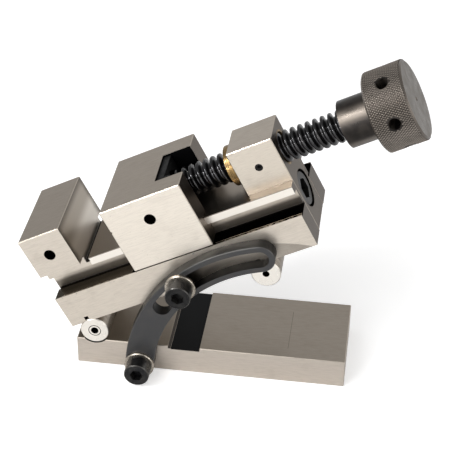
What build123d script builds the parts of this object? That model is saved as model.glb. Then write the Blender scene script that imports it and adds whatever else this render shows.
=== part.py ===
"""Sine vise: a screw vise of 50 mm jaw width on a sine base, 100 mm between the roller centres.

Every size is in millimetres. The row frame has its origin at the middle of the base
plate's bottom face, +Z up, +X towards the knob, and the arc link on the -Y side.
What tilts is drawn in the vise's own frame, whose origin is the hinge roller's centre,
with X along the bed and Z square to it. on_vise() carries it to its tilted place.
"""
from build123d import *
import math
import os

os.makedirs("parts", exist_ok=True)

# Shared clearances
slide_gap = 0.03             # ground slideways, each side
running_gap = 0.05           # radial, a shaft or roller that turns in its seat
thread_gap = 0.05            # radial, a plain shank that stands for a thread in its hole
seat_gap = 0.02              # radial, a fixed piece in its ground seat
edge_break = 0.4             # chamfer of ground edges
bolt_clearance = 0.5         # added to a screw's diameter where it passes through
overcut = 1.0                # how far a cutter reaches past a face

# Sine geometry
centre_distance = 100.0      # hinge roller to sine roller
tilt_angle = 27.5            # degrees, the angle the vise is set to
roller_diameter = 15.0
hinge_seat_depth = 1.8       # how deep the hinge roller lies in the base plate

# Base plate
base_length = 141.0
base_width = 50.0
base_thickness = 16.0
hinge_inset = 9.7            # base end to the hinge roller's axis
base_groove_start = 40.2     # from the hinge axis
base_groove_width = 15.2
base_groove_depth = 1.4
base_groove_bevel = 1.5

# Vise body, a fixed jaw and its rail in one piece
body_length = 141.0
body_width = 50.0
body_end_inset = 9.7         # body end to the hinge roller's axis
body_bottom = 6.6            # height of the bottom face above the roller centres
flange_height = 18.5
neck_height = 8.7
neck_width = 28.2
rail_height = 4.3
rail_width = 36.8
neck_relief_width = 2.0
neck_relief_depth = 0.8
bed_relief_width = 2.0
bed_relief_depth = 1.3
roller_relief_width = 2.0
roller_relief_depth = 2.9    # above the bottom face

# Jaws
jaw_depth = 25.0
fixed_jaw_length = 23.85
fixed_jaw_overhang = 1.8     # its wings end this far above the bed
jaw_opening = 24.05
movable_jaw_length = 45.0
flange_clearance = 0.3       # movable jaw above the lower flange
vee_depth = 1.0
pocket_length = 15.7
pocket_width = 25.0
guide_relief_radius = 0.7
stop_hole_diameter = 6.0     # tapped side hole of each jaw
stop_hole_depth = 14.0

# Spindle, its seat in the movable jaw and its nut
spindle_height = 12.5        # axis above the bed
thread_diameter = 16.0       # trapezoidal, 4 mm lead, drawn plain
collar_diameter = 20.0
collar_length = 4.0
collar_gap = 0.08
retainer_thickness = 4.0
retainer_width = 24.4
retainer_height = 22.8
retainer_screw_y = 9.2
retainer_screw_z = 8.6
retainer_screw_length = 10.0
retainer_hole_depth = 8.0
nut_block_length = 24.5
nut_block_width = 24.0
nut_body_diameter = 18.0
nut_flange_diameter = 21.0
nut_flange_length = 4.0
nut_screw_diameter = 4.0
nut_screw_recess = 0.6       # below the block's face
nut_screw_key = 2.0
nut_screw_socket = 1.4
nut_block_screw_length = 30.0
nut_block_screw_hole = 20.4  # depth in the body
end_bore_diameter = 20.0
end_bore_depth = 12.6
end_bore_height = 18.7       # axis above the body's bottom face

# Knob with its hub
hub_start = 164.4            # from the hinge axis, along the spindle
hub_diameter = 24.0
hub_length = 16.0
knob_diameter = 40.0
knob_length = 20.4
knob_edge = 1.0
knob_journal = 12.0
knob_journal_length = 26.0
bar_hole_diameter = 6.0
bar_hole_depth = 13.0
bar_hole_count = 6
bar_hole_phase = 3.7         # degrees from the front
bar_hole_offset = 10.7       # from the knob's inner face
centre_pip = 1.2             # depth and radius of the turning centre

# Arc link and its two screws
link_radius = 78.8           # slot's centre line
link_width = 15.0
link_thickness = 7.0
link_gap = 0.1               # behind the link
link_slot_width = 9.0
link_slot_start = 29.5       # degrees along the arc from the pivot
link_slot_end = 74.5
link_pivot_x = 24.8          # from the hinge axis
link_rest_offset = -0.94     # degrees, the loose fit taken up at the set angle
clamp_x = 59.0               # clamp screw in the vise's own frame
clamp_z = 12.4
washer_diameter = 15.6
washer_thickness = 1.6
clamp_shank_diameter = 6.9   # reduced shank in the slot

# Socket cap screws: thread, head diameter, head height, key across flats
m3 = (3.0, 5.5, 3.0, 2.5)
m4 = (4.0, 7.0, 4.0, 3.0)
m8 = (8.0, 13.0, 8.0, 6.0)
m12 = (12.0, 18.0, 12.0, 10.0)
m8_engagement = 14.0         # thread in the base plate and in the vise
m8_hole_depth = 16.0
roller_screw_length = 16.0
roller_screw_hole = 15.0     # its reach above the roller centres
roller_screw_sink = 5.0      # head seat above the roller's lowest line
roller_centre_hole = 3.5
hinge_centre_hole = 4.0
centre_hole_depth = 6.0

# Places that follow from the sizes above
roller_radius = roller_diameter / 2
hinge_x = hinge_inset - base_length / 2
hinge_z = base_thickness + roller_radius - hinge_seat_depth
half_width = body_width / 2
body_start = -body_end_inset
body_end = body_start + body_length
flange_top = body_bottom + flange_height
rail_bottom = flange_top + neck_height
bed_z = rail_bottom + rail_height
jaw_top = bed_z + jaw_depth
axis_z = bed_z + spindle_height
fixed_face_x = body_start + fixed_jaw_length
jaw_start = fixed_face_x + jaw_opening
jaw_end = jaw_start + movable_jaw_length
pocket_x = jaw_end - pocket_length
block_start = body_end - nut_block_length
knob_start = hub_start + hub_length
knob_end = knob_start + knob_length
link_back_y = -half_width - link_gap
link_front_y = link_back_y - link_thickness
washer_front_y = link_front_y - washer_thickness
pivot_x = hinge_x + link_pivot_x
pivot_z = base_thickness / 2
retainer_screw_places = (
    (-retainer_screw_y, axis_z + retainer_screw_z),
    (retainer_screw_y, axis_z - retainer_screw_z),
)


def on_vise(shape):
    """Carry a shape from the vise's own frame to its tilted place in the row frame."""
    return Location((hinge_x, 0, hinge_z), (0, -tilt_angle, 0)) * shape


def block(x0, x1, y0, y1, z0, z1):
    """A box between two corners."""
    centre = Pos((x0 + x1) / 2, (y0 + y1) / 2, (z0 + z1) / 2)
    return centre * Box(x1 - x0, y1 - y0, z1 - z0)


def eased_block(x0, x1, y0, y1, z0, z1):
    """A ground box with all its edges broken."""
    solid = block(x0, x1, y0, y1, z0, z1)
    return chamfer(solid.edges(), edge_break)


def rod_x(diameter, x0, x1, y, z):
    """A cylinder along X."""
    rod = Cylinder(diameter / 2, x1 - x0, align=(Align.CENTER, Align.CENTER, Align.MIN))
    return Pos(x0, y, z) * Rot(0, 90, 0) * rod


def rod_y(diameter, y0, y1, x, z):
    """A cylinder along Y."""
    rod = Cylinder(diameter / 2, y1 - y0, align=(Align.CENTER, Align.CENTER, Align.MIN))
    return Pos(x, y0, z) * Rot(-90, 0, 0) * rod


def rod_z(diameter, z0, z1, x, y):
    """A cylinder along Z."""
    rod = Cylinder(diameter / 2, z1 - z0, align=(Align.CENTER, Align.CENTER, Align.MIN))
    return Pos(x, y, z0) * rod


def cap_screw(size, length, shank_diameter=None, shank_length=0.0):
    """A socket cap screw: head above Z = 0, thread below, with an optional thinner shank."""
    thread, head_diameter, head_height, key = size
    head = rod_z(head_diameter, 0, head_height, 0, 0)
    if size in (m8, m12):
        head = chamfer(head.edges().group_by(Axis.Z)[-1], edge_break)
    socket_hex = RegularPolygon(radius=key / 2, side_count=6, major_radius=False)
    socket = extrude(Pos(0, 0, head_height) * socket_hex, amount=-head_height / 2)
    screw = head - socket
    if shank_diameter:
        screw += rod_z(shank_diameter, -shank_length, 0, 0, 0)
    screw += rod_z(thread, -length, -shank_length, 0, 0)
    return screw


def washer():
    """A flat M8 washer lying on Z = 0."""
    hole_diameter = m8[0] + bolt_clearance
    ring = rod_z(washer_diameter, 0, washer_thickness, 0, 0)
    ring = chamfer(ring.edges().group_by(Axis.Z)[-1], edge_break)
    return ring - rod_z(hole_diameter, -overcut, washer_thickness + overcut, 0, 0)


def facing_front(shape, x, y, z):
    """Turn a fastener's head towards the front and seat it at a point."""
    return Pos(x, y, z) * Rot(90, 0, 0) * shape


def base_plate():
    """The plate with the hinge roller's seat, the cross groove and the link's tapped hole."""
    plate = eased_block(
        -base_length / 2, base_length / 2, -base_width / 2, base_width / 2, 0, base_thickness
    )
    reach = base_width / 2 + overcut
    plate -= rod_y(roller_diameter + 2 * running_gap, -reach, reach, hinge_x, hinge_z)
    start = hinge_x + base_groove_start
    floor_z = base_thickness - base_groove_depth
    groove_outline = Polyline(
        (start - base_groove_bevel, base_thickness),
        (start, floor_z),
        (start + base_groove_width, floor_z),
        (start + base_groove_width, base_thickness + overcut),
        (start - base_groove_bevel, base_thickness + overcut),
        close=True,
    )
    plate -= extrude(Plane.XZ * make_face(groove_outline), amount=reach, both=True)
    hole = m8[0] + 2 * thread_gap
    plate -= rod_y(hole, -reach, -base_width / 2 + m8_hole_depth, pivot_x, pivot_z)
    return plate


def body_section():
    """The rail's section across the bed: lower flange, relieved neck and guide rail."""
    rail = rail_width / 2
    neck = neck_width / 2
    relief = neck + neck_relief_width
    right = [
        (half_width, body_bottom),
        (half_width, flange_top),
        (relief, flange_top),
        (relief, flange_top - neck_relief_depth),
        (neck, flange_top - neck_relief_depth),
        (neck, rail_bottom),
        (rail, rail_bottom),
        (rail, bed_z),
    ]
    left = [(-y, z) for y, z in reversed(right)]
    return make_face(Polyline(*right, *left, close=True))


def roller_seats():
    """The two round seats in the body's underside, each with a relief slot at its crown."""
    cutters = []
    reach = half_width + overcut
    for x in (0.0, centre_distance):
        cutters.append(rod_y(roller_diameter + 2 * seat_gap, -reach, reach, x, 0))
        slot = roller_relief_width / 2
        top = body_bottom + roller_relief_depth
        cutters.append(block(x - slot, x + slot, -reach, reach, 0, top))
        cutters.append(rod_z(m4[0] + 2 * thread_gap, 0, roller_screw_hole, x, 0))
    return cutters


def vise_body():
    """The body: rail section, fixed jaw, roller seats and the end slot for the nut block."""
    body = extrude(Plane.YZ * body_section(), amount=body_length)
    body = Pos(body_start, 0, 0) * body
    wing_z = bed_z + fixed_jaw_overhang
    body += block(body_start, fixed_face_x, -rail_width / 2, rail_width / 2, bed_z, wing_z)
    jaw = block(body_start, fixed_face_x, -half_width, half_width, wing_z, jaw_top)
    top_edges = jaw.edges().group_by(Axis.Z)[-1]
    body += chamfer(top_edges, edge_break)
    relief_x = fixed_face_x + bed_relief_width / 2
    relief_z = bed_z - bed_relief_depth + bed_relief_width / 2
    reach = half_width + overcut
    body -= rod_y(bed_relief_width, -reach, reach, relief_x, relief_z)
    body -= block(fixed_face_x, fixed_face_x + bed_relief_width, -reach, reach, relief_z, bed_z)
    for cutter in roller_seats():
        body -= cutter
    slot = nut_block_width / 2 + seat_gap
    body -= block(block_start, body_end + overcut, -slot, slot, body_bottom - overcut, bed_z + overcut)
    bolt_z = body_bottom + end_bore_height
    bolt_hole = m12[0] + 2 * thread_gap
    body -= rod_x(bolt_hole, block_start - nut_block_screw_hole, block_start, 0, bolt_z)
    jaw_middle = (body_start + fixed_face_x) / 2
    body -= rod_y(stop_hole_diameter, -reach, -half_width + stop_hole_depth, jaw_middle, axis_z)
    clamp_hole = m8[0] + 2 * thread_gap
    body -= rod_y(clamp_hole, -reach, -half_width + m8_hole_depth, clamp_x, clamp_z)
    return body


def movable_jaw():
    """The sliding jaw: guide channel under its sole, rear pocket, vee grooves and bores."""
    jaw = eased_block(
        jaw_start, jaw_end, -half_width, half_width, flange_top + flange_clearance, jaw_top
    )
    rail = rail_width / 2 + slide_gap
    neck = neck_width / 2 + flange_clearance
    x0 = jaw_start - overcut
    x1 = jaw_end + overcut
    jaw -= block(x0, x1, -rail, rail, rail_bottom - slide_gap, bed_z + slide_gap)
    jaw -= block(x0, x1, -neck, neck, flange_top, rail_bottom)
    for y in (-rail, rail):
        jaw -= rod_x(2 * guide_relief_radius, x0, x1, y, bed_z + slide_gap)
    pocket = pocket_width / 2
    jaw -= block(pocket_x, x1, -pocket, pocket, bed_z, jaw_top + overcut)
    seat_x = pocket_x - collar_length - collar_gap
    jaw -= rod_x(collar_diameter + 2 * running_gap, seat_x, pocket_x + overcut, 0, axis_z)
    tapped = m3[0] + 2 * thread_gap
    for y, z in retainer_screw_places:
        jaw -= rod_x(tapped, pocket_x - retainer_hole_depth, pocket_x + overcut, y, z)
    vee = Polyline((-vee_depth, 0), (0, vee_depth), (vee_depth, 0), (0, -vee_depth), close=True)
    reach = half_width + overcut
    level = extrude(Plane.XZ * make_face(vee), amount=reach, both=True)
    jaw -= Pos(jaw_start, 0, axis_z) * level
    upright = extrude(Plane.XY * make_face(vee), amount=jaw_depth)
    jaw -= Pos(jaw_start, 0, bed_z + slide_gap) * upright
    jaw_middle = (jaw_start + jaw_end) / 2
    jaw -= rod_y(stop_hole_diameter, -reach, -half_width + stop_hole_depth, jaw_middle, axis_z)
    return jaw


def retainer():
    """The plate that traps the spindle's collar, drawn in one piece with its two M3 screws."""
    y, z = retainer_width / 2, retainer_height / 2
    plate = block(pocket_x, pocket_x + retainer_thickness, -y, y, axis_z - z, axis_z + z)
    start = pocket_x - overcut
    reach = pocket_x + retainer_thickness + overcut
    plate -= rod_x(thread_diameter + bolt_clearance, start, reach, 0, axis_z)
    for y, z in retainer_screw_places:
        place = Pos(pocket_x + retainer_thickness, y, z) * Rot(0, 90, 0)
        plate += place * cap_screw(m3, retainer_screw_length)
    return plate


def nut_block():
    """The block that holds the nut, with its foot down through the body's end slot."""
    y = nut_block_width / 2
    nut = eased_block(block_start, body_end, -y, y, body_bottom, jaw_top)
    nut -= rod_x(nut_body_diameter + 2 * seat_gap, block_start - overcut, body_end + overcut, 0, axis_z)
    bolt_z = body_bottom + end_bore_height
    nut -= rod_x(end_bore_diameter, body_end - end_bore_depth, body_end + overcut, 0, bolt_z)
    nut -= rod_x(m12[0] + bolt_clearance, block_start - overcut, body_end, 0, bolt_z)
    middle = (block_start + body_end) / 2
    nut -= rod_y(nut_screw_diameter, -y - overcut, 0, middle, axis_z)
    return nut


def spindle_nut():
    """The bronze nut: a flanged bush, with a dimple for its set screw."""
    nut = rod_x(nut_body_diameter, block_start, body_end, 0, axis_z)
    nut += rod_x(nut_flange_diameter, block_start - nut_flange_length, block_start, 0, axis_z)
    reach = block_start - nut_flange_length - overcut
    return nut - rod_x(thread_diameter + 2 * running_gap, reach, body_end + overcut, 0, axis_z)


def nut_set_screw():
    """The set screw in the nut block's front face."""
    middle = (block_start + body_end) / 2
    tip_y = -nut_body_diameter / 2 - seat_gap
    diameter = nut_screw_diameter - 2 * thread_gap
    outer_y = -nut_block_width / 2 + nut_screw_recess
    screw = rod_y(diameter, outer_y, tip_y, middle, axis_z)
    socket = Pos(middle, outer_y, axis_z) * Rot(-90, 0, 0)
    hexagon = RegularPolygon(radius=nut_screw_key / 2, side_count=6, major_radius=False)
    return screw - socket * extrude(hexagon, amount=nut_screw_socket)


def nut_block_screw():
    """The M12 screw in the foot's end bore."""
    bolt_z = body_bottom + end_bore_height
    place = Pos(body_end - end_bore_depth, 0, bolt_z) * Rot(0, 90, 0)
    return place * cap_screw(m12, nut_block_screw_length)


def spindle():
    """The spindle: collar, threaded length and the journal inside the knob."""
    collar_x = pocket_x - collar_length
    shaft = rod_x(collar_diameter, collar_x, pocket_x - collar_gap, 0, axis_z)
    shaft += rod_x(thread_diameter, pocket_x - collar_gap, hub_start, 0, axis_z)
    journal_end = hub_start + knob_journal_length
    return shaft + rod_x(knob_journal, hub_start, journal_end, 0, axis_z)


def knob():
    """The knob and its hub, with six holes for a tommy bar and a turning centre."""
    head = rod_x(knob_diameter, knob_start, knob_end, 0, axis_z)
    head = chamfer(head.edges().filter_by(GeomType.CIRCLE), knob_edge)
    head += rod_x(hub_diameter, hub_start, knob_start, 0, axis_z)
    journal = knob_journal + 2 * seat_gap
    head -= rod_x(journal, hub_start - overcut, hub_start + knob_journal_length, 0, axis_z)
    hole_x = knob_start + bar_hole_offset
    radius = knob_diameter / 2
    for index in range(bar_hole_count):
        angle = bar_hole_phase + index * 360 / bar_hole_count
        hole = rod_y(bar_hole_diameter, -radius - overcut, -radius + bar_hole_depth, 0, 0)
        head -= Pos(hole_x, 0, axis_z) * Rot(-angle, 0, 0) * hole
    pip = Cone(centre_pip, 0, centre_pip, align=(Align.CENTER, Align.CENTER, Align.MIN))
    return head - Pos(knob_end, 0, axis_z) * Rot(0, -90, 0) * pip


def roller(x, hole_diameter):
    """A ground roller with a centre hole in each end and a sunk screw hole from below."""
    pin = rod_y(roller_diameter, -half_width, half_width, x, 0)
    pin = chamfer(pin.edges().filter_by(GeomType.CIRCLE), edge_break)
    for sign in (-1, 1):
        depth = sign * (half_width - centre_hole_depth)
        end = sign * (half_width + overcut)
        low, high = min(depth, end), max(depth, end)
        pin -= rod_y(hole_diameter, low, high, x, 0)
    seat_z = -roller_radius + roller_screw_sink
    pin -= rod_z(m4[1] + bolt_clearance, -roller_radius - overcut, seat_z, x, 0)
    return pin - rod_z(m4[0] + bolt_clearance, seat_z, roller_radius + overcut, x, 0)


def rollers():
    """The hinge roller and the sine roller."""
    return Compound([roller(0.0, hinge_centre_hole), roller(centre_distance, roller_centre_hole)])


def roller_screw(x):
    """The M4 screw that pulls a roller into its seat from below."""
    place = Pos(x, 0, -roller_radius + roller_screw_sink) * Rot(180, 0, 0)
    return place * cap_screw(m4, roller_screw_length)


def vise_screws():
    """All the screws that ride on the vise, apart from the jaw's own."""
    return Compound([
        roller_screw(0.0), roller_screw(centre_distance), nut_block_screw(), nut_set_screw(), clamp_screw()
    ])


def clamp_point():
    """The clamp screw's axis in the row frame, at the set angle."""
    angle = math.radians(tilt_angle)
    x = hinge_x + clamp_x * math.cos(angle) - clamp_z * math.sin(angle)
    z = hinge_z + clamp_x * math.sin(angle) + clamp_z * math.cos(angle)
    return x, z


def link_heading():
    """The direction, in degrees from +X, in which the link's arc leaves its pivot."""
    x, z = clamp_point()
    chord = math.hypot(x - pivot_x, z - pivot_z)
    bearing = math.degrees(math.atan2(z - pivot_z, x - pivot_x))
    half_turn = math.degrees(math.asin(chord / 2 / link_radius))
    return bearing + half_turn + link_rest_offset


def arc_band(radius, width, start, end):
    """A band along the link's arc with round ends, between two angles from the pivot."""
    outline = []
    centre = Vector(radius, 0)
    inner, outer = radius - width / 2, radius + width / 2

    def on_arc(length, angle):
        turned = math.radians(180 - angle)
        return centre + Vector(length * math.cos(turned), length * math.sin(turned))

    middle = (start + end) / 2
    outline.append(ThreePointArc(on_arc(outer, start), on_arc(outer, middle), on_arc(outer, end)))
    cap = math.degrees(width / 2 / radius)
    outline.append(ThreePointArc(on_arc(outer, end), on_arc(radius, end + cap), on_arc(inner, end)))
    outline.append(ThreePointArc(on_arc(inner, end), on_arc(inner, middle), on_arc(inner, start)))
    outline.append(ThreePointArc(on_arc(inner, start), on_arc(radius, start - cap), on_arc(outer, start)))
    return make_face(Wire(outline))


def arc_link():
    """The curved link: pivot hole at its foot and a long curved slot for the clamp screw."""
    face = arc_band(link_radius, link_width, 0, link_slot_end)
    face -= arc_band(link_radius, link_slot_width, link_slot_start, link_slot_end)
    face -= Circle(m8[0] / 2 + running_gap)
    plate = extrude(face, amount=link_thickness)
    plate = chamfer(plate.faces().sort_by(Axis.Z)[-1].outer_wire().edges(), edge_break)
    turned = Rot(0, 0, link_heading() - 90) * plate
    return Pos(pivot_x, link_back_y, pivot_z) * Rot(90, 0, 0) * turned


def link_pivot_screw():
    """The screw that the link turns on, in the base plate's front face."""
    grip = link_thickness + washer_thickness + link_gap
    return facing_front(cap_screw(m8, grip + m8_engagement), pivot_x, washer_front_y, pivot_z)


def clamp_screw():
    """The screw that clamps the link's slot to the vise, with a reduced shank in the slot."""
    grip = link_thickness + washer_thickness + link_gap
    screw = cap_screw(m8, grip + m8_engagement, clamp_shank_diameter, grip)
    return facing_front(screw, clamp_x, washer_front_y, clamp_z)


base_body = {
    "base_plate": base_plate(),
    "link_pivot_screw": link_pivot_screw(),
    "link_pivot_washer": facing_front(washer(), pivot_x, link_front_y, pivot_z),
}
vise_pieces = {
    "vise_body": vise_body(),
    "rollers": rollers(),
    "vise_screws": vise_screws(),
    "nut_block": nut_block(),
    "spindle_nut": spindle_nut(),
    "clamp_washer": facing_front(washer(), clamp_x, link_front_y, clamp_z),
    "movable_jaw": movable_jaw(),
    "retainer": retainer(),
    "spindle": spindle(),
    "knob": knob(),
}
nodes = dict(base_body)
nodes["arc_link"] = arc_link()
for name, shape in vise_pieces.items():
    nodes[name] = on_vise(shape)

for name, shape in nodes.items():
    export_step(shape, f"parts/{name}.step")
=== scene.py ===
"""Sine vise on its sine base: finishes, spindle thread, knob knurl, studio and camera.

Everything is in metres in the row frame. The vise's own frame starts at the hinge
roller's centre and leans back by the set angle, as in the part's source.
"""
import logging
import math
from dataclasses import dataclass, field
from enum import Enum

import bpy
from mathutils import Matrix, Vector


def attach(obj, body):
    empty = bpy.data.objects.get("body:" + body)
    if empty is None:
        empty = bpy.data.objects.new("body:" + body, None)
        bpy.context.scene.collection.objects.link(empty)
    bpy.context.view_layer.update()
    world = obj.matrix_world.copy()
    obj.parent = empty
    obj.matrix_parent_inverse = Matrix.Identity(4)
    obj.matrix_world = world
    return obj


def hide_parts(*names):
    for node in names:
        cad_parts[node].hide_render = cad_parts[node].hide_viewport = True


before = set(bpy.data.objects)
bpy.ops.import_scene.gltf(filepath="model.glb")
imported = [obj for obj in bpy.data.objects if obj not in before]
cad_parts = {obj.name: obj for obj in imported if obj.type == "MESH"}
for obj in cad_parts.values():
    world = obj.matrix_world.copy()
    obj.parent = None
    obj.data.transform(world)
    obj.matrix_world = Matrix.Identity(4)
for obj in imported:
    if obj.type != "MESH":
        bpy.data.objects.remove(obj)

MM = 0.001
TILT = math.radians(27.5)
HINGE = Vector((-60.8, 0.0, 21.7)) * MM
AXIS_Z = 50.6                # spindle axis above the roller centres
log = logging.getLogger("sine_vise")


Value = bpy.types.NodeSocket | float
Colour = bpy.types.NodeSocket | tuple[float, float, float, float]


class Slot(Enum):
    """A material slot of the record, which nothing in this script uses."""

    BLACK = "black_oxide_steel"


class Axes(Enum):
    """The frame that a finish's pattern and its patches follow."""

    VISE = "vise"
    BASE = "base"


def linear(code: str) -> tuple[float, float, float, float]:
    """Turn an sRGB hex colour into linear values.

    Args:
        code: The colour as "#RRGGBB".

    Returns:
        Red, green, blue and alpha, linear.
    """
    parts = [int(code[i:i + 2], 16) / 255 for i in (1, 3, 5)]
    curve = [c / 12.92 if c <= 0.04045 else ((c + 0.055) / 1.055) ** 2.4 for c in parts]
    return curve[0], curve[1], curve[2], 1.0


def add_node(tree: bpy.types.NodeTree, kind: str, inputs: dict | None = None, **settings) -> bpy.types.Node:
    """Add one node with its settings, and set or link its inputs.

    Args:
        tree: The node tree.
        kind: The node's type name.
        inputs: Values or output sockets by input name or number.
        **settings: The node's own properties.

    Returns:
        The new node.
    """
    node = tree.nodes.new(kind)
    for name, value in settings.items():
        setattr(node, name, value)
    for key, value in (inputs or {}).items():
        if isinstance(value, bpy.types.NodeSocket):
            tree.links.new(value, node.inputs[key])
        else:
            node.inputs[key].default_value = value
    return node


class Surface:
    """A material's tree with the masks and patterns that the finishes share."""

    def __init__(self, name: str, axes: Axes) -> None:
        """Start a material whose pattern runs with the vise or with the base.

        Args:
            name: The material's name.
            axes: The frame that the pattern follows.
        """
        self.material = bpy.data.materials.new(name)
        self.material.use_nodes = True
        self.tree = self.material.node_tree
        self.shader = self.tree.nodes["Principled BSDF"]
        coord = add_node(self.tree, "ShaderNodeTexCoord")
        angle, shift = 0.0, Vector((0, 0, 0))
        if axes is Axes.VISE:
            angle = TILT
            shift = -(Matrix.Rotation(angle, 3, "Y") @ HINGE)
        self.place = add_node(
            self.tree, "ShaderNodeMapping", {0: coord.outputs["Object"], 1: shift, 2: (0, angle, 0)}
        ).outputs[0]
        normal = add_node(
            self.tree, "ShaderNodeMapping", {0: coord.outputs["Normal"], "Rotation": (0, angle, 0)},
            vector_type="VECTOR",
        ).outputs[0]
        self.facing = add_node(self.tree, "ShaderNodeSeparateXYZ", {0: normal}).outputs
        self.point = add_node(self.tree, "ShaderNodeSeparateXYZ", {0: self.place}).outputs

    def math(self, operation: str, *values: Value) -> bpy.types.NodeSocket:
        """One math node's output."""
        node = add_node(self.tree, "ShaderNodeMath", dict(enumerate(values)), operation=operation)
        return node.outputs[0]

    def ramp(
        self, value: Value, low: float, high: float, start: float = 0.0, end: float = 1.0
    ) -> bpy.types.NodeSocket:
        """A smooth, clamped change from start to end while the value goes from low to high."""
        node = add_node(
            self.tree, "ShaderNodeMapRange",
            {0: value, 1: low, 2: high, 3: start, 4: end}, interpolation_type="SMOOTHSTEP",
        )
        return node.outputs[0]

    def blend(self, factor: Value, first: Colour, second: Colour) -> bpy.types.NodeSocket:
        """A colour between two."""
        node = add_node(
            self.tree, "ShaderNodeMix", {"Factor": factor, 6: first, 7: second}, data_type="RGBA"
        )
        return node.outputs[2]

    def noise(
        self, cell_mm: tuple[float, float, float], detail: float = 2.0, seed: float = 0.0
    ) -> bpy.types.NodeSocket:
        """Noise in cells of a real size.

        Args:
            cell_mm: The cells' size along each axis, in millimetres.
            detail: The octaves of finer noise.
            seed: A shift that sets one pattern apart from another.

        Returns:
            The noise, from 0 to 1.
        """
        scale = [1 / (size * MM) for size in cell_mm]
        mapped = add_node(
            self.tree, "ShaderNodeMapping", {0: self.place, 3: scale, 1: (seed, seed, seed)}
        )
        node = add_node(
            self.tree, "ShaderNodeTexNoise", {"Vector": mapped.outputs[0], "Scale": 1.0, "Detail": detail}
        )
        return node.outputs["Fac"]

    def edges(self) -> bpy.types.NodeSocket:
        """One on chamfers and other faces that lean from the piece's own axes.

        Returns:
            The mask.
        """
        parts = [self.math("ABSOLUTE", self.facing[i]) for i in range(3)]
        largest = self.math("MAXIMUM", self.math("MAXIMUM", parts[0], parts[1]), parts[2])
        return self.ramp(largest, 0.80, 0.95, 1.0, 0.0)

    def within(self, patch: "Patch") -> Value:
        """One inside a patch's box, times its strength, with a soft or ragged border.

        Args:
            patch: The box.

        Returns:
            The mask.
        """
        mask: Value = patch.strength
        for axis in range(3):
            at = self.point[axis]
            if patch.ragged and axis == 1:
                uneven = self.math("SUBTRACT", self.noise((2.2, 0.8, 0.8), 5.0, 7.0), 0.5)
                at = self.math("ADD", at, self.math("MULTIPLY", uneven, 2 * patch.ragged * MM))
            low, high = patch.low[axis] * MM, patch.high[axis] * MM
            # A border wider than this would leave no middle in a thin box
            soft = min(patch.soft * MM, 0.4 * (high - low))
            mask = self.math("MULTIPLY", mask, self.ramp(at, low, low + soft))
            mask = self.math("MULTIPLY", mask, self.ramp(at, high - soft, high, 1.0, 0.0))
        return mask

    def bore(self, bore: "Bore") -> bpy.types.NodeSocket:
        """One nearer to a bore's axis than its radius and farther than its inner radius.

        Args:
            bore: The bore or ring.

        Returns:
            The mask.
        """
        offsets = [
            self.math("SUBTRACT", self.point[axis], at * MM) for axis, at in ((0, bore.x), (2, bore.z))
        ]
        squares = [self.math("MULTIPLY", value, value) for value in offsets]
        distance = self.math("SQRT", self.math("ADD", *squares))
        mask = self.math("LESS_THAN", distance, bore.radius * MM)
        # The margin takes in the axis itself where there is no inner radius
        return self.math("MULTIPLY", mask, self.math("GREATER_THAN", distance, (bore.inner - 1.0e-3) * MM))

    def painted_shadow(self, painted_shadow: "PaintedShadow") -> bpy.types.NodeSocket:
        """One on a painted shadow's ring, on faces that look to the front, fading along X.

        Args:
            painted_shadow: The painted shadow of the link.

        Returns:
            The mask.
        """
        front = self.ramp(self.facing[1], -0.9, -0.7, 1.0, 0.0)
        entry = self.ramp(self.point[0], *(at * MM for at in painted_shadow.entry))
        fade = self.ramp(self.point[0], *(at * MM for at in painted_shadow.fade), *painted_shadow.strength)
        reach = self.math("MULTIPLY", entry, fade)
        return self.math("MULTIPLY", self.bore(painted_shadow.ring), self.math("MULTIPLY", front, reach))

    def bump(self, height: bpy.types.NodeSocket, depth_mm: float, strength: float) -> None:
        """Set the shader's normal from a height."""
        node = add_node(
            self.tree, "ShaderNodeBump",
            {"Strength": strength, "Distance": depth_mm * MM, "Height": height},
        )
        self.tree.links.new(node.outputs[0], self.shader.inputs["Normal"])

    def finish(
        self, colour: bpy.types.NodeSocket, roughness: bpy.types.NodeSocket, metallic: float = 1.0
    ) -> bpy.types.Material:
        """Link what varies, set what doesn't.

        Args:
            colour: The base colour.
            roughness: The roughness.
            metallic: The metallic value, the same all over.

        Returns:
            The material.
        """
        self.tree.links.new(colour, self.shader.inputs["Base Color"])
        self.tree.links.new(roughness, self.shader.inputs["Roughness"])
        self.shader.inputs["Metallic"].default_value = metallic
        return self.material


@dataclass(frozen=True)
class Patch:
    """A box of a piece's own frame, in millimetres, where the finish differs."""

    low: tuple[float, float, float]
    high: tuple[float, float, float]
    colour: str
    strength: float
    soft: float                  # width of the border, in millimetres
    ragged: float                # how far noise moves the border, in millimetres
    roughness: float
    grazing: str = ""            # colour seen along the surface, where oil keeps it dark


@dataclass(frozen=True)
class Bore:
    """A hole along Y whose wall is painted dark as shade, by its axis and radius in millimetres."""

    x: float
    z: float
    radius: float
    inner: float = 0.0
    colour: str = "#0C0B0A"


@dataclass(frozen=True)
class PaintedShadow:
    """A painted shadow in a ring round an axis along Y, by where it starts and thins along X, in millimetres.
    """

    ring: Bore
    entry: tuple[float, float] = (50.0, 62.0)
    fade: tuple[float, float] = (70.0, 100.0)
    strength: tuple[float, float] = (0.85, 0.45)


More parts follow.
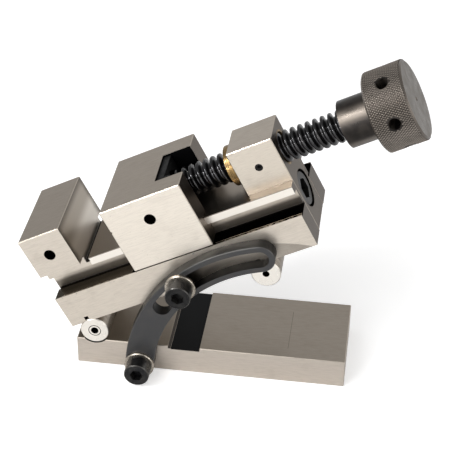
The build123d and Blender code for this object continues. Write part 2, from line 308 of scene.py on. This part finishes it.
@dataclass(frozen=True)
class GroundSteel:
    """Surface-ground tool steel: satin, warm grey, with fine straight grain."""

    name: str
    axes: Axes = Axes.VISE
    # Colours by which way a face looks, painted light and shade: the front faces lit, the tops and the +X
    # ends painted darker as shaded
    side: str = "#E6DED2"
    top: str = "#8F867B"
    end: str = "#6E655C"
    edge: str = "#B9B0A4"
    grain_mm: tuple[float, float, float] = (5.0, 0.30, 0.30)
    roughness: float = 0.36
    patches: tuple[Patch, ...] = ()
    bores: tuple[Bore, ...] = ()
    # Painted shadows of the link on the front faces
    painted_shadows: tuple[PaintedShadow, ...] = ()

    def build(self) -> bpy.types.Material:
        """Make the material.

        Returns:
            The material.
        """
        s = Surface(self.name, self.axes)
        # Painted light and shade by which way a face looks: tops and +X ends darker than the front
        up = s.ramp(s.facing[2], 0.55, 0.85)
        end = s.ramp(s.facing[0], 0.55, 0.85)
        colour = s.blend(up, linear(self.side), linear(self.top))
        colour = s.blend(end, colour, linear(self.end))
        # Grinding marks, old stains and small dark flecks
        grain = s.noise(self.grain_mm, 3.0)
        cloud = s.noise((9.0, 9.0, 9.0), 4.0, 3.0)
        fleck = s.noise((0.7, 0.7, 0.7), 2.0, 9.0)
        colour = s.blend(s.ramp(grain, 0.35, 0.75, 0.0, 0.14), colour, linear("#5E564D"))
        colour = s.blend(s.ramp(cloud, 0.50, 0.80, 0.0, 0.14), colour, linear("#7A6F62"))
        colour = s.blend(s.ramp(fleck, 0.66, 0.80, 0.0, 0.30), colour, linear("#6B5F50"))
        colour = s.blend(s.math("MULTIPLY", s.edges(), 0.8), colour, linear(self.edge))
        rough = s.ramp(grain, 0.3, 0.8, self.roughness - 0.05, self.roughness + 0.06)
        grazing: Colour = linear("#FFFFFF")
        for patch in self.patches:
            mask = s.within(patch)
            if patch.grazing:
                grazing = s.blend(mask, grazing, linear(patch.grazing))
            colour = s.blend(mask, colour, linear(patch.colour))
            rough = s.math("ADD", s.math("MULTIPLY", mask, s.math("SUBTRACT", patch.roughness, rough)), rough)
        # Hole walls painted dark, as shade
        for bore in self.bores:
            colour = s.blend(s.bore(bore), colour, linear(bore.colour))
        for painted_shadow in self.painted_shadows:
            # The link's painted shadow on the front faces
            colour = s.blend(s.painted_shadow(painted_shadow), colour, linear(painted_shadow.ring.colour))
        s.bump(grain, 0.01, 0.35)
        if isinstance(grazing, bpy.types.NodeSocket):
            s.tree.links.new(grazing, s.shader.inputs["Specular Tint"])
        return s.finish(colour, rough)


BODY_STEEL = GroundSteel(
    # The side, top and end colours are painted light and shade
    "surface_ground_body", side="#D2C9BD", top="#857C71", end="#625A52",
    patches=(
        # Scale and oil left on the lower flange's ledge, ragged along its outer edge
        Patch((-12, -24.3, 24.0), (36, 24.3, 25.4), "#45413C", 1.0, 0.10, 2.4, 0.24, "#B4B4B2"),
        Patch((36, -24.3, 24.0), (135, 24.3, 25.4), "#1C1B1A", 1.0, 0.10, 2.0, 0.30, "#767573"),
        Patch((84, -23.4, 24.9), (135, -22.8, 25.4), "#A69C8F", 0.9, 0.10, 0.0, 0.35),
        # The guide rail's front is painted brighter: a painted highlight
        Patch((16.0, -18.6, 33.7), (135, -18.2, 37.9), "#F3EDE4", 0.9, 0.2, 0.0, 0.34),
        # Painted shade on the neck under the guide rail's overhang, darker towards the ledge
        Patch((-12, -16.0, 24.0), (135, 16.0, 30.5), "#4B443C", 0.75, 2.0, 0.5, 0.35),
        # Painted shade on the bed between the jaws, and the relief groove painted near black as shade
        Patch((16.6, -26, 37.6), (135, 26, 38.6), "#7F766C", 0.8, 0.1, 0.0, 0.30),
        Patch((14.0, -26, 36.0), (16.4, 26, 38.0), "#1A1714", 1.0, 0.08, 0.0, 0.5),
        # Painted reflection on the clamping face, paler below
        Patch((13.9, -26, 44.0), (14.4, 26, 64.0), "#C3B9AC", 0.75, 6.0, 1.5, 0.32),
        Patch((13.9, -26, 34.0), (14.4, 26, 54.0), "#E9E2D8", 0.85, 7.0, 1.5, 0.42),
        # The rollers' relief slots, painted near black as shade
        Patch((-1.2, -26, 5.0), (1.2, 26, 9.7), "#0E0C0A", 1.0, 0.1, 0.0, 0.6),
    ),
    # The hole's wall is painted dark, as shade
    bores=(Bore(2.225, 50.6, 3.02),),
    # Painted shadow of the arc link on the front face, where the link's slot runs, round the arc's centre
    painted_shadows=(PaintedShadow(Bore(83.7, -63.3, 83.3, 74.3, "#2A241E")),),
)
JAW_STEEL = GroundSteel(
    "surface_ground_jaw",
    patches=(
        # The pocket is left black
        Patch((60.0, -12.6, 30.0), (83.0, 12.6, 62.9), "#101011", 1.0, 0.05, 0.0, 0.55),
    ),
    # The hole's wall is painted dark, as shade
    bores=(Bore(60.7, 50.6, 3.02),),
)
BLOCK_STEEL = GroundSteel(
    # The side, top and end colours are painted light and shade
    "surface_ground_block", side="#D3CABD", top="#A59C91", end="#655C53",
    # The end bore is painted black inside: painted shade in the bore
    patches=(Patch((105.0, -10.3, 15.0), (131.15, 10.3, 35.6), "#0A0908", 1.0, 0.05, 0.0, 0.4),),
    # The hole's wall is painted dark, as shade
    bores=(Bore(119.05, 50.6, 2.02),),
)
BASE_STEEL = GroundSteel(
    # The side, top and end colours are painted light and shade
    "surface_ground_base", axes=Axes.BASE, side="#C3BAB0", top="#A1988D", end="#968D82",
    patches=(
        # Painted shade under the vise, left of the groove
        Patch((-72, -26, 15.5), (-21.0, 26, 16.5), "#7B7369", 0.8, 2.0, 0.0, 0.36),
        # The cross groove is black, and its bevel is dark
        Patch((-20.7, -26, 14.0), (-5.5, 26, 15.4), "#151617", 1.0, 0.08, 0.0, 0.5),
        Patch((-22.2, -26, 14.4), (-20.7, 26, 15.98), "#3A3530", 1.0, 0.05, 0.0, 0.4),
        # A worn scribed line across the top
        Patch((40.0, -18.0, 15.9), (40.25, 14.0, 16.1), "#3A332C", 0.8, 0.12, 0.1, 0.4),
    ),
    # The hinge roller's seat is painted dark: painted shade under the roller
    bores=(Bore(-60.8, 21.7, 8.05),),
)


@dataclass(frozen=True)
class RollerSteel:
    """Cylindrically ground steel, with painted light: the ends painted bright as lit, darker round the side
    as shaded.
    """

    name: str = "cylindrically_ground_steel"
    # The centre holes and the ring pocket are painted dark, as shade
    bores: tuple[Bore, ...] = (
        Bore(0.0, 0.0, 2.02), Bore(0.0, 0.0, 3.35, 2.95), Bore(100.0, 0.0, 1.78),
    )

    def build(self) -> bpy.types.Material:
        """Make the material.

        Returns:
            The material.
        """
        s = Surface(self.name, Axes.VISE)
        grain = s.noise((6.0, 0.4, 6.0), 2.0)
        # Painted light: faces that look along Y are painted brighter than the side
        end = s.ramp(s.math("ABSOLUTE", s.facing[1]), 0.5, 0.9)
        side = s.blend(s.ramp(grain, 0.3, 0.7), linear("#A69C90"), linear("#7F766B"))
        colour = s.blend(end, side, linear("#EBE6DE"))
        for bore in self.bores:
            colour = s.blend(s.bore(bore), colour, linear(bore.colour))
        s.bump(grain, 0.01, 0.4)
        return s.finish(colour, s.ramp(grain, 0.3, 0.7, 0.25, 0.36))


@dataclass(frozen=True)
class WasherSteel:
    """Plain bright washer steel, pressed and tumbled."""

    name: str = "tumbled_washer_steel"

    def build(self) -> bpy.types.Material:
        """Make the material.

        Returns:
            The material.
        """
        s = Surface(self.name, Axes.VISE)
        grain = s.noise((0.8, 0.8, 0.8), 3.0)
        colour = s.blend(s.ramp(grain, 0.35, 0.7), linear("#B5AEA3"), linear("#7F776C"))
        s.bump(grain, 0.02, 0.5)
        return s.finish(colour, s.ramp(grain, 0.3, 0.7, 0.22, 0.38))


@dataclass(frozen=True)
class Bronze:
    """Turned bearing bronze."""

    name: str = "turned_bronze"

    def build(self) -> bpy.types.Material:
        """Make the material.

        Returns:
            The material.
        """
        s = Surface(self.name, Axes.VISE)
        grain = s.noise((0.3, 5.0, 5.0), 2.0)
        colour = s.blend(s.ramp(grain, 0.3, 0.7), linear("#947A50"), linear("#54442E"))
        s.bump(grain, 0.02, 0.5)
        return s.finish(colour, s.ramp(grain, 0.3, 0.7, 0.25, 0.4))


@dataclass(frozen=True)
class BlackOxide:
    """Oiled black oxide on steel: near black, satin, worn to metal at the edges."""

    name: str
    axes: Axes = Axes.VISE
    body: str = "#232325"
    cloud: str = "#353432"
    worn: str = "#4A4845"
    end: str = ""                # colour of faces that look along +X, where it differs
    wall: str = ""               # colour of faces that don't look along Y, where it differs
    roughness: float = 0.38
    grain_mm: tuple[float, float, float] = (0.5, 0.5, 0.5)
    depth_mm: float = 0.02
    metallic: float = 0.7
    groove: str = ""             # colour of a knurl's grooves, where it has one
    groove_radius: float = 19.96  # about the spindle's axis, in millimetres
    peak_radius: float = 20.2

    def build(self) -> bpy.types.Material:
        """Make the material.

        Returns:
            The material.
        """
        s = Surface(self.name, self.axes)
        fine = s.noise(self.grain_mm, 3.0)
        cloud = s.noise((6.0, 6.0, 6.0), 3.0, 5.0)
        colour = s.blend(s.ramp(cloud, 0.4, 0.7, 0.0, 0.5), linear(self.body), linear(self.cloud))
        if self.end:
            colour = s.blend(s.ramp(s.facing[0], 0.9, 0.99), colour, linear(self.end))
        if self.wall:
            # The flat faces look along Y, and their chamfers lean halfway to the walls
            flat = s.math("ABSOLUTE", s.facing[1])
            colour = s.blend(s.ramp(flat, 0.2, 0.5, 1.0, 0.0), colour, linear(self.wall))
            edge = s.math("MULTIPLY", s.ramp(flat, 0.55, 0.70), s.ramp(flat, 0.72, 0.95, 1.0, 0.0))
        else:
            edge = s.edges()
        colour = s.blend(s.math("MULTIPLY", edge, 0.7), colour, linear(self.worn))
        if self.groove:
            rise = s.math("SUBTRACT", s.point[2], AXIS_Z * MM)
            squares = s.math(
                "ADD", s.math("MULTIPLY", s.point[1], s.point[1]), s.math("MULTIPLY", rise, rise)
            )
            depth = s.ramp(s.math("SQRT", squares), self.groove_radius * MM, self.peak_radius * MM)
            colour = s.blend(depth, linear(self.groove), colour)
        s.bump(fine, self.depth_mm, 0.5)
        low, high = self.roughness - 0.06, self.roughness + 0.08
        return s.finish(colour, s.ramp(cloud, 0.3, 0.7, low, high), self.metallic)


@dataclass
class GeometryRecipe:
    """A geometry node tree with named inputs, baked to a plain mesh."""

    name: str
    tree: bpy.types.NodeTree = field(init=False)
    sockets: dict[str, str] = field(default_factory=dict)

    def __post_init__(self) -> None:
        """Make the tree with its output."""
        self.tree = bpy.data.node_groups.new(self.name, "GeometryNodeTree")
        self.tree.interface.new_socket("Geometry", in_out="OUTPUT", socket_type="NodeSocketGeometry")

    def declare(self, **kinds: str) -> bpy.types.Node:
        """Declare named inputs.

        Args:
            **kinds: The socket type of each input, by its name.

        Returns:
            The group's input node.
        """
        for name, kind in kinds.items():
            socket = self.tree.interface.new_socket(name, in_out="INPUT", socket_type=kind)
            self.sockets[name] = socket.identifier
        return add_node(self.tree, "NodeGroupInput")

    def math(self, operation: str, *values: Value) -> bpy.types.NodeSocket:
        """One math node's output."""
        node = add_node(self.tree, "ShaderNodeMath", dict(enumerate(values)), operation=operation)
        return node.outputs[0]

    def close(self, geometry: bpy.types.NodeSocket, material: bpy.types.NodeSocket) -> None:
        """End the tree in Realize Instances and Set Material.

        Args:
            geometry: What the tree makes.
            material: The input that names its material.
        """
        real = add_node(self.tree, "GeometryNodeRealizeInstances", {0: geometry})
        dressed = add_node(
            self.tree, "GeometryNodeSetMaterial", {"Geometry": real.outputs[0], "Material": material}
        )
        add_node(self.tree, "NodeGroupOutput", {0: dressed.outputs[0]})

    def bake(self, piece: str, **values: object) -> bpy.types.Object:
        """Evaluate the tree with its inputs.

        Args:
            piece: The new object's name.
            **values: Each input's value, by its name.

        Returns:
            A plain mesh object at the origin.
        """
        holder = bpy.data.objects.new(piece + "_holder", bpy.data.meshes.new(piece + "_holder"))
        bpy.context.scene.collection.objects.link(holder)
        modifier = holder.modifiers.new(self.name, "NODES")
        modifier.node_group = self.tree
        for name, value in values.items():
            modifier[self.sockets[name]] = value
        bpy.context.view_layer.update()
        evaluated = holder.evaluated_get(bpy.context.evaluated_depsgraph_get())
        mesh = bpy.data.meshes.new_from_object(evaluated)
        mesh.name = piece
        bpy.data.objects.remove(holder)
        made = bpy.data.objects.new(piece, mesh)
        bpy.context.scene.collection.objects.link(made)
        return made


def vise_matrix() -> Matrix:
    """The place of the vise's own frame in the row frame."""
    return Matrix.Translation(HINGE) @ Matrix.Rotation(-TILT, 4, "Y")


def dress(node: str, material: bpy.types.Material) -> None:
    """Give a carried-over CAD node its material.

    Args:
        node: The node's name.
        material: The finish.
    """
    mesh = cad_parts[node].data
    mesh.materials.clear()
    mesh.materials.append(material)


@dataclass
class Spindle:
    """The trapezoidal thread that stands in for the plain shaft, in millimetres."""

    start: float = 63.5          # where the thread's strip starts, from the hinge axis
    end: float = 166.0
    crest_radius: float = 7.95
    root_radius: float = 5.5
    lead: float = 4.0
    steps: int = 40              # segments in each turn
    across: int = 13             # points across one profile
    crest_end: float = 0.24      # where the flank starts, from the crest's middle at 0 ...
    root_start: float = 0.76     # ... and ends, to the root's middle at 1
    weld: float = 0.01           # the turns' edges join within this distance

    def thread(self, material: bpy.types.Material) -> bpy.types.Object:
        """A strip that winds round the axis, one profile wide, welded turn to turn.

        Args:
            material: The thread's finish.

        Returns:
            The thread in the row frame.
        """
        recipe = GeometryRecipe("trapezoidal_thread")
        given = recipe.declare(
            Start="NodeSocketFloat", End="NodeSocketFloat", Crest="NodeSocketFloat",
            Root="NodeSocketFloat", Lead="NodeSocketFloat", Turns="NodeSocketInt",
            Steps="NodeSocketInt", Material="NodeSocketMaterial",
        ).outputs
        along = recipe.math("ADD", recipe.math("MULTIPLY", given["Turns"], given["Steps"]), 1.0)
        grid = add_node(
            recipe.tree, "GeometryNodeMeshGrid",
            {"Size X": 1.0, "Size Y": 1.0, "Vertices X": along, "Vertices Y": self.across},
        )
        place = add_node(recipe.tree, "GeometryNodeInputPosition")
        part = add_node(recipe.tree, "ShaderNodeSeparateXYZ", {0: place.outputs[0]}).outputs
        wound = recipe.math("MULTIPLY", recipe.math("ADD", part[0], 0.5), given["Turns"])
        phase = recipe.math("ADD", part[1], 0.5)
        # Distance from the crest's middle, 0 at the crest and 1 at the root
        away = recipe.math("ABSOLUTE", recipe.math("SUBTRACT", recipe.math("MULTIPLY", phase, 2.0), 1.0))
        fall = add_node(
            recipe.tree, "ShaderNodeMapRange",
            {0: away, 1: self.crest_end, 2: self.root_start, 3: 1.0, 4: 0.0}, interpolation_type="SMOOTHSTEP",
        ).outputs[0]
        height = recipe.math("SUBTRACT", given["Crest"], given["Root"])
        radius = recipe.math("ADD", given["Root"], recipe.math("MULTIPLY", fall, height))
        turn = recipe.math("MULTIPLY", wound, 2 * math.pi)
        reach = recipe.math("MULTIPLY", recipe.math("ADD", wound, phase), given["Lead"])
        x = recipe.math("MINIMUM", recipe.math("ADD", given["Start"], reach), given["End"])
        y = recipe.math("MULTIPLY", radius, recipe.math("COSINE", turn))
        z = recipe.math("MULTIPLY", radius, recipe.math("SINE", turn))
        moved = add_node(recipe.tree, "ShaderNodeCombineXYZ", {0: x, 1: y, 2: z})
        shaped = add_node(
            recipe.tree, "GeometryNodeSetPosition",
            {"Geometry": grid.outputs["Mesh"], "Position": moved.outputs[0]},
        )
        welded = add_node(
            recipe.tree, "GeometryNodeMergeByDistance",
            {"Geometry": shaped.outputs[0], "Distance": self.weld * MM},
        )
        smooth = add_node(recipe.tree, "GeometryNodeSetShadeSmooth", {"Geometry": welded.outputs[0]})
        recipe.close(smooth.outputs[0], given["Material"])
        turns = int((self.end - self.start) / self.lead) + 1
        piece = recipe.bake(
            "spindle_thread", Start=self.start * MM, End=self.end * MM, Crest=self.crest_radius * MM,
            Root=self.root_radius * MM, Lead=self.lead * MM, Turns=turns, Steps=self.steps,
            Material=material,
        )
        piece.data.transform(vise_matrix() @ Matrix.Translation((0, 0, AXIS_Z * MM)))
        return piece

    def build(self, material: bpy.types.Material) -> None:
        """Make the thread in place of the plain shaft.

        Args:
            material: The thread's finish.
        """
        piece = self.thread(material)
        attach(piece, "screw")
        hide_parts("spindle")
        log.info("spindle thread: %d faces", len(piece.data.polygons))


@dataclass
class Knurl:
    """The diamond knurl round the knob, left out at its six bar holes, in millimetres."""

    start: float = 180.8
    radius: float = 19.97
    around: int = 96
    rows: int = 20
    row_step: float = 0.93
    height: float = 0.36
    hole_x: float = 191.1
    hole_radius: float = 3.0
    hole_phase: float = 3.7      # degrees
    hole_margin: float = 0.7     # between a hole's edge and the nearest diamond's middle
    holes: int = 6
    peak: float = 0.10           # a diamond's flat top and its foot, as shares of the pitch
    foot: float = 0.50

    def build(self, material: bpy.types.Material) -> None:
        """Make the knurl's diamonds on the knob.

        Args:
            material: The knurl's finish.
        """
        recipe = GeometryRecipe("diamond_knurl")
        given = recipe.declare(
            Start="NodeSocketFloat", Radius="NodeSocketFloat", Around="NodeSocketInt",
            Rows="NodeSocketInt", Height="NodeSocketFloat", Hole="NodeSocketFloat",
            Middle="NodeSocketFloat", Phase="NodeSocketFloat", Step="NodeSocketFloat",
            Material="NodeSocketMaterial",
        ).outputs
        total = recipe.math("MULTIPLY", given["Around"], given["Rows"])
        points = add_node(recipe.tree, "GeometryNodePoints", {"Count": total})
        index = add_node(recipe.tree, "GeometryNodeInputIndex").outputs[0]
        row = recipe.math("FLOOR", recipe.math("DIVIDE", index, given["Around"]))
        column = recipe.math("SUBTRACT", index, recipe.math("MULTIPLY", row, given["Around"]))
        odd = recipe.math("MULTIPLY", recipe.math("MODULO", row, 2.0), 0.5)
        step = recipe.math("DIVIDE", 2 * math.pi, given["Around"])
        turn = recipe.math("MULTIPLY", recipe.math("ADD", column, odd), step)
        pitch = recipe.math("MULTIPLY", step, given["Radius"])
        ahead = recipe.math("MULTIPLY", recipe.math("ADD", row, 1.0), given["Step"])
        x = recipe.math("ADD", given["Start"], ahead)
        y = recipe.math("MULTIPLY", given["Radius"], recipe.math("COSINE", turn))
        z = recipe.math("MULTIPLY", given["Radius"], recipe.math("SINE", turn))
        spot = add_node(recipe.tree, "ShaderNodeCombineXYZ", {0: x, 1: y, 2: z})
        set_points = add_node(
            recipe.tree, "GeometryNodeSetPosition",
            {"Geometry": points.outputs[0], "Position": spot.outputs[0]},
        )
        # Leave out the diamonds that would hang over a bar hole
        sixth = 2 * math.pi / self.holes
        local = recipe.math("WRAP", recipe.math("SUBTRACT", turn, given["Phase"]), sixth / 2, -sixth / 2)
        side = recipe.math("MULTIPLY", local, given["Radius"])
        along = recipe.math("SUBTRACT", x, given["Middle"])
        squares = [recipe.math("MULTIPLY", value, value) for value in (side, along)]
        gap = recipe.math("SQRT", recipe.math("ADD", *squares))
        inside = recipe.math("LESS_THAN", gap, given["Hole"])
        kept = add_node(
            recipe.tree, "GeometryNodeDeleteGeometry",
            {"Geometry": set_points.outputs[0], "Selection": inside},
        )
        cone = add_node(
            recipe.tree, "GeometryNodeMeshCone",
            {"Vertices": 4, "Radius Top": recipe.math("MULTIPLY", pitch, self.peak),
             "Radius Bottom": recipe.math("MULTIPLY", pitch, self.foot), "Depth": given["Height"]},
        )
        # Points are numbered anew after the deletion, so the turn is read from their places
        where = add_node(recipe.tree, "GeometryNodeInputPosition")
        part = add_node(recipe.tree, "ShaderNodeSeparateXYZ", {0: where.outputs[0]}).outputs
        outward = add_node(recipe.tree, "ShaderNodeCombineXYZ", {0: 0.0, 1: part[1], 2: part[2]})
        stretch = recipe.math("DIVIDE", recipe.math("MULTIPLY", given["Step"], 2.0), pitch)
        size = add_node(recipe.tree, "ShaderNodeCombineXYZ", {0: stretch, 1: 1.0, 2: 1.0})
        turned = add_node(
            recipe.tree, "FunctionNodeAxesToRotation",
            {"Primary Axis": outward.outputs[0], "Secondary Axis": (1.0, 0.0, 0.0)},
            primary_axis="Z", secondary_axis="X",
        )
        copies = add_node(
            recipe.tree, "GeometryNodeInstanceOnPoints",
            {"Points": kept.outputs[0], "Instance": cone.outputs["Mesh"], "Rotation": turned.outputs[0],
             "Scale": size.outputs[0]},
        )
        recipe.close(copies.outputs[0], given["Material"])
        piece = recipe.bake(
            "knob_knurl", Start=self.start * MM, Radius=self.radius * MM, Around=self.around, Rows=self.rows,
            Height=self.height * MM, Hole=(self.hole_radius + self.hole_margin) * MM, Middle=self.hole_x * MM,
            Step=self.row_step * MM, Phase=-math.radians(self.hole_phase), Material=material,
        )
        piece.data.transform(vise_matrix() @ Matrix.Translation((0, 0, AXIS_Z * MM)))
        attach(piece, "screw")
        log.info("knob knurl: %d faces", len(piece.data.polygons))


@dataclass
class Frame:
    """The CAD nodes that keep their shape, and what each is made of."""

    def build(self) -> tuple[bpy.types.Material, bpy.types.Material]:
        """Dress the nodes.

        Returns:
            The finishes of the thread and of the knurl.
        """
        thread = BlackOxide(
            "oiled_black_thread", body="#3A3A3B", cloud="#444140", worn="#3A3A3B", roughness=0.12,
            metallic=0.95,
        )
        knurl = BlackOxide(
            "black_oxide_knurl", body="#7A736C", cloud="#8A827A", worn="#8A827A", roughness=0.30,
            metallic=0.9, groove="#141312",
        )
        knob = BlackOxide("black_oxide_knob", body="#24211F", cloud="#3E3935", worn="#7A726A", end="#6F6860",
                          roughness=0.32, metallic=0.85)
        screw = BlackOxide("oiled_black_screw", body="#151516", roughness=0.28)
        pivot = BlackOxide("oiled_black_pivot", axes=Axes.BASE, body="#1A1A1C", roughness=0.28)
        pocket = BlackOxide(
            "black_oxide_pocket", body="#0B0B0C", cloud="#101010", worn="#101010", roughness=0.6
        )
        link = BlackOxide(
            "satin_black_link", axes=Axes.BASE, body="#3F3F40", cloud="#484644", worn="#4B4A48",
            wall="#151515", roughness=0.42,
        )
        finishes = {
            BODY_STEEL: ("vise_body",), JAW_STEEL: ("movable_jaw",), BLOCK_STEEL: ("nut_block",),
            BASE_STEEL: ("base_plate",), RollerSteel(): ("rollers",),
            WasherSteel(): ("link_pivot_washer", "clamp_washer"), Bronze(): ("spindle_nut",),
            screw: ("vise_screws",), pivot: ("link_pivot_screw",), pocket: ("retainer",),
            link: ("arc_link",), knob: ("knob",),
        }
        for finish, nodes in finishes.items():
            material = finish.build()
            for node in nodes:
                dress(node, material)
            log.info("%s: %s", finish.name, ", ".join(nodes))
        return thread.build(), knurl.build()


@dataclass(frozen=True)
class Lamp:
    """A square soft light, by its place and side in metres and its power in watts."""

    name: str
    place: tuple[float, float, float]
    size: float
    power: float


LAMPS = (
    Lamp("key", (-0.9, -1.1, 1.2), 1.1, 14.0),
    Lamp("fill", (1.2, -0.8, 0.7), 1.0, 5.0),
    Lamp("front", (0.0, -1.5, 0.25), 1.0, 6.0),
    # Two small ones give the thread its bright glints
    Lamp("glint_high", (-0.78, -0.54, 0.79), 0.10, 3.0),
    Lamp("glint_low", (-0.50, -1.05, 0.28), 0.10, 2.4),
)


@dataclass
class Studio:
    """White floor, soft light and the camera at the photo's viewing angle."""

    place: tuple[float, float, float] = (0.07973, -0.60238, 0.48767)
    back: tuple[float, float, float] = (0.1037, -0.8225, 0.5592)
    right: tuple[float, float, float] = (0.99215, 0.12509, 0.0)
    roll: float = -0.893
    lens: float = 114.87
    sensor: float = 36.0
    aim: tuple[float, float, float] = (0.02, 0.0, 0.07)
    floor_half: float = 3.0
    floor_level: float = -0.0002
    floor_glow: float = 0.38     # the camera sees the floor brighter, so that it meets the white

    def camera(self) -> None:
        """Make the camera from the fitted axes."""
        data = bpy.data.cameras.new("camera")
        data.sensor_width = self.sensor
        data.lens = self.lens
        camera = bpy.data.objects.new("camera", data)
        bpy.context.scene.collection.objects.link(camera)
        back = Vector(self.back).normalized()
        right = Vector(self.right).normalized()
        up = back.cross(right)
        turn = math.radians(self.roll)
        c, s = math.cos(turn), math.sin(turn)
        across, over = right * c - up * s, right * s + up * c
        rows = Matrix((across, over, back)).transposed().to_4x4()
        camera.matrix_world = Matrix.Translation(self.place) @ rows
        bpy.context.scene.camera = camera

    def floor(self) -> None:
        """A plain pale floor that keeps the object's shadow."""
        mesh = bpy.data.meshes.new("floor")
        size, level = self.floor_half, self.floor_level
        corners = [(-size, -size, level), (size, -size, level), (size, size, level), (-size, size, level)]
        mesh.from_pydata(corners, [], [(0, 1, 2, 3)])
        floor = bpy.data.objects.new("floor", mesh)
        bpy.context.scene.collection.objects.link(floor)
        material = bpy.data.materials.new("matt_white_floor")
        material.use_nodes = True
        tree = material.node_tree
        shader = tree.nodes["Principled BSDF"]
        shader.inputs["Base Color"].default_value = linear("#F7F7F7")
        shader.inputs["Roughness"].default_value = 0.9
        path = add_node(tree, "ShaderNodeLightPath")
        seen = add_node(
            tree, "ShaderNodeMath", {0: path.outputs["Is Camera Ray"], 1: self.floor_glow},
            operation="MULTIPLY",
        )
        shader.inputs["Emission Color"].default_value = (1, 1, 1, 1)
        tree.links.new(seen.outputs[0], shader.inputs["Emission Strength"])
        mesh.materials.append(material)

    def world(self) -> None:
        """A white surround for the camera and for reflections, darker overhead."""
        world = bpy.data.worlds.new("studio")
        bpy.context.scene.world = world
        world.use_nodes = True
        tree = world.node_tree
        tree.nodes.clear()
        path = add_node(tree, "ShaderNodeLightPath")
        coord = add_node(tree, "ShaderNodeTexCoord")
        up = add_node(tree, "ShaderNodeSeparateXYZ", {0: coord.outputs["Generated"]})
        shade = add_node(
            tree, "ShaderNodeMapRange", {0: up.outputs[2], 1: 0.15, 2: 0.9, 3: 1.0, 4: 0.45}
        )
        seen = add_node(
            tree, "ShaderNodeMix", {0: path.outputs["Is Camera Ray"], 2: shade.outputs[0], 3: 1.0}
        )
        diffuse = add_node(
            tree, "ShaderNodeMix", {0: path.outputs["Is Diffuse Ray"], 2: seen.outputs[0], 3: 0.45}
        )
        sky = add_node(tree, "ShaderNodeBackground", {"Color": (1, 1, 1, 1), "Strength": diffuse.outputs[0]})
        add_node(tree, "ShaderNodeOutputWorld", {0: sky.outputs[0]})

    def light(self, lamp: Lamp) -> None:
        """Make one light that points at the object.

        Args:
            lamp: The light's sizes.
        """
        data = bpy.data.lights.new(lamp.name, "AREA")
        data.size = lamp.size
        data.energy = lamp.power
        made = bpy.data.objects.new(lamp.name, data)
        made.location = lamp.place
        made.rotation_euler = (Vector(self.aim) - Vector(lamp.place)).to_track_quat("-Z", "Y").to_euler()
        bpy.context.scene.collection.objects.link(made)

    def build(self) -> None:
        """Make the whole studio."""
        scene = bpy.context.scene
        scene.view_settings.view_transform = "Standard"
        self.camera()
        self.floor()
        self.world()
        for lamp in LAMPS:
            self.light(lamp)


def main() -> None:
    """Build every part of the scene."""
    logging.basicConfig(level=logging.INFO)
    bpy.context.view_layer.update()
    Studio().build()
    thread, knurl = Frame().build()
    Spindle().build(thread)
    Knurl().build(knurl)


if __name__ == "__main__":
    main()
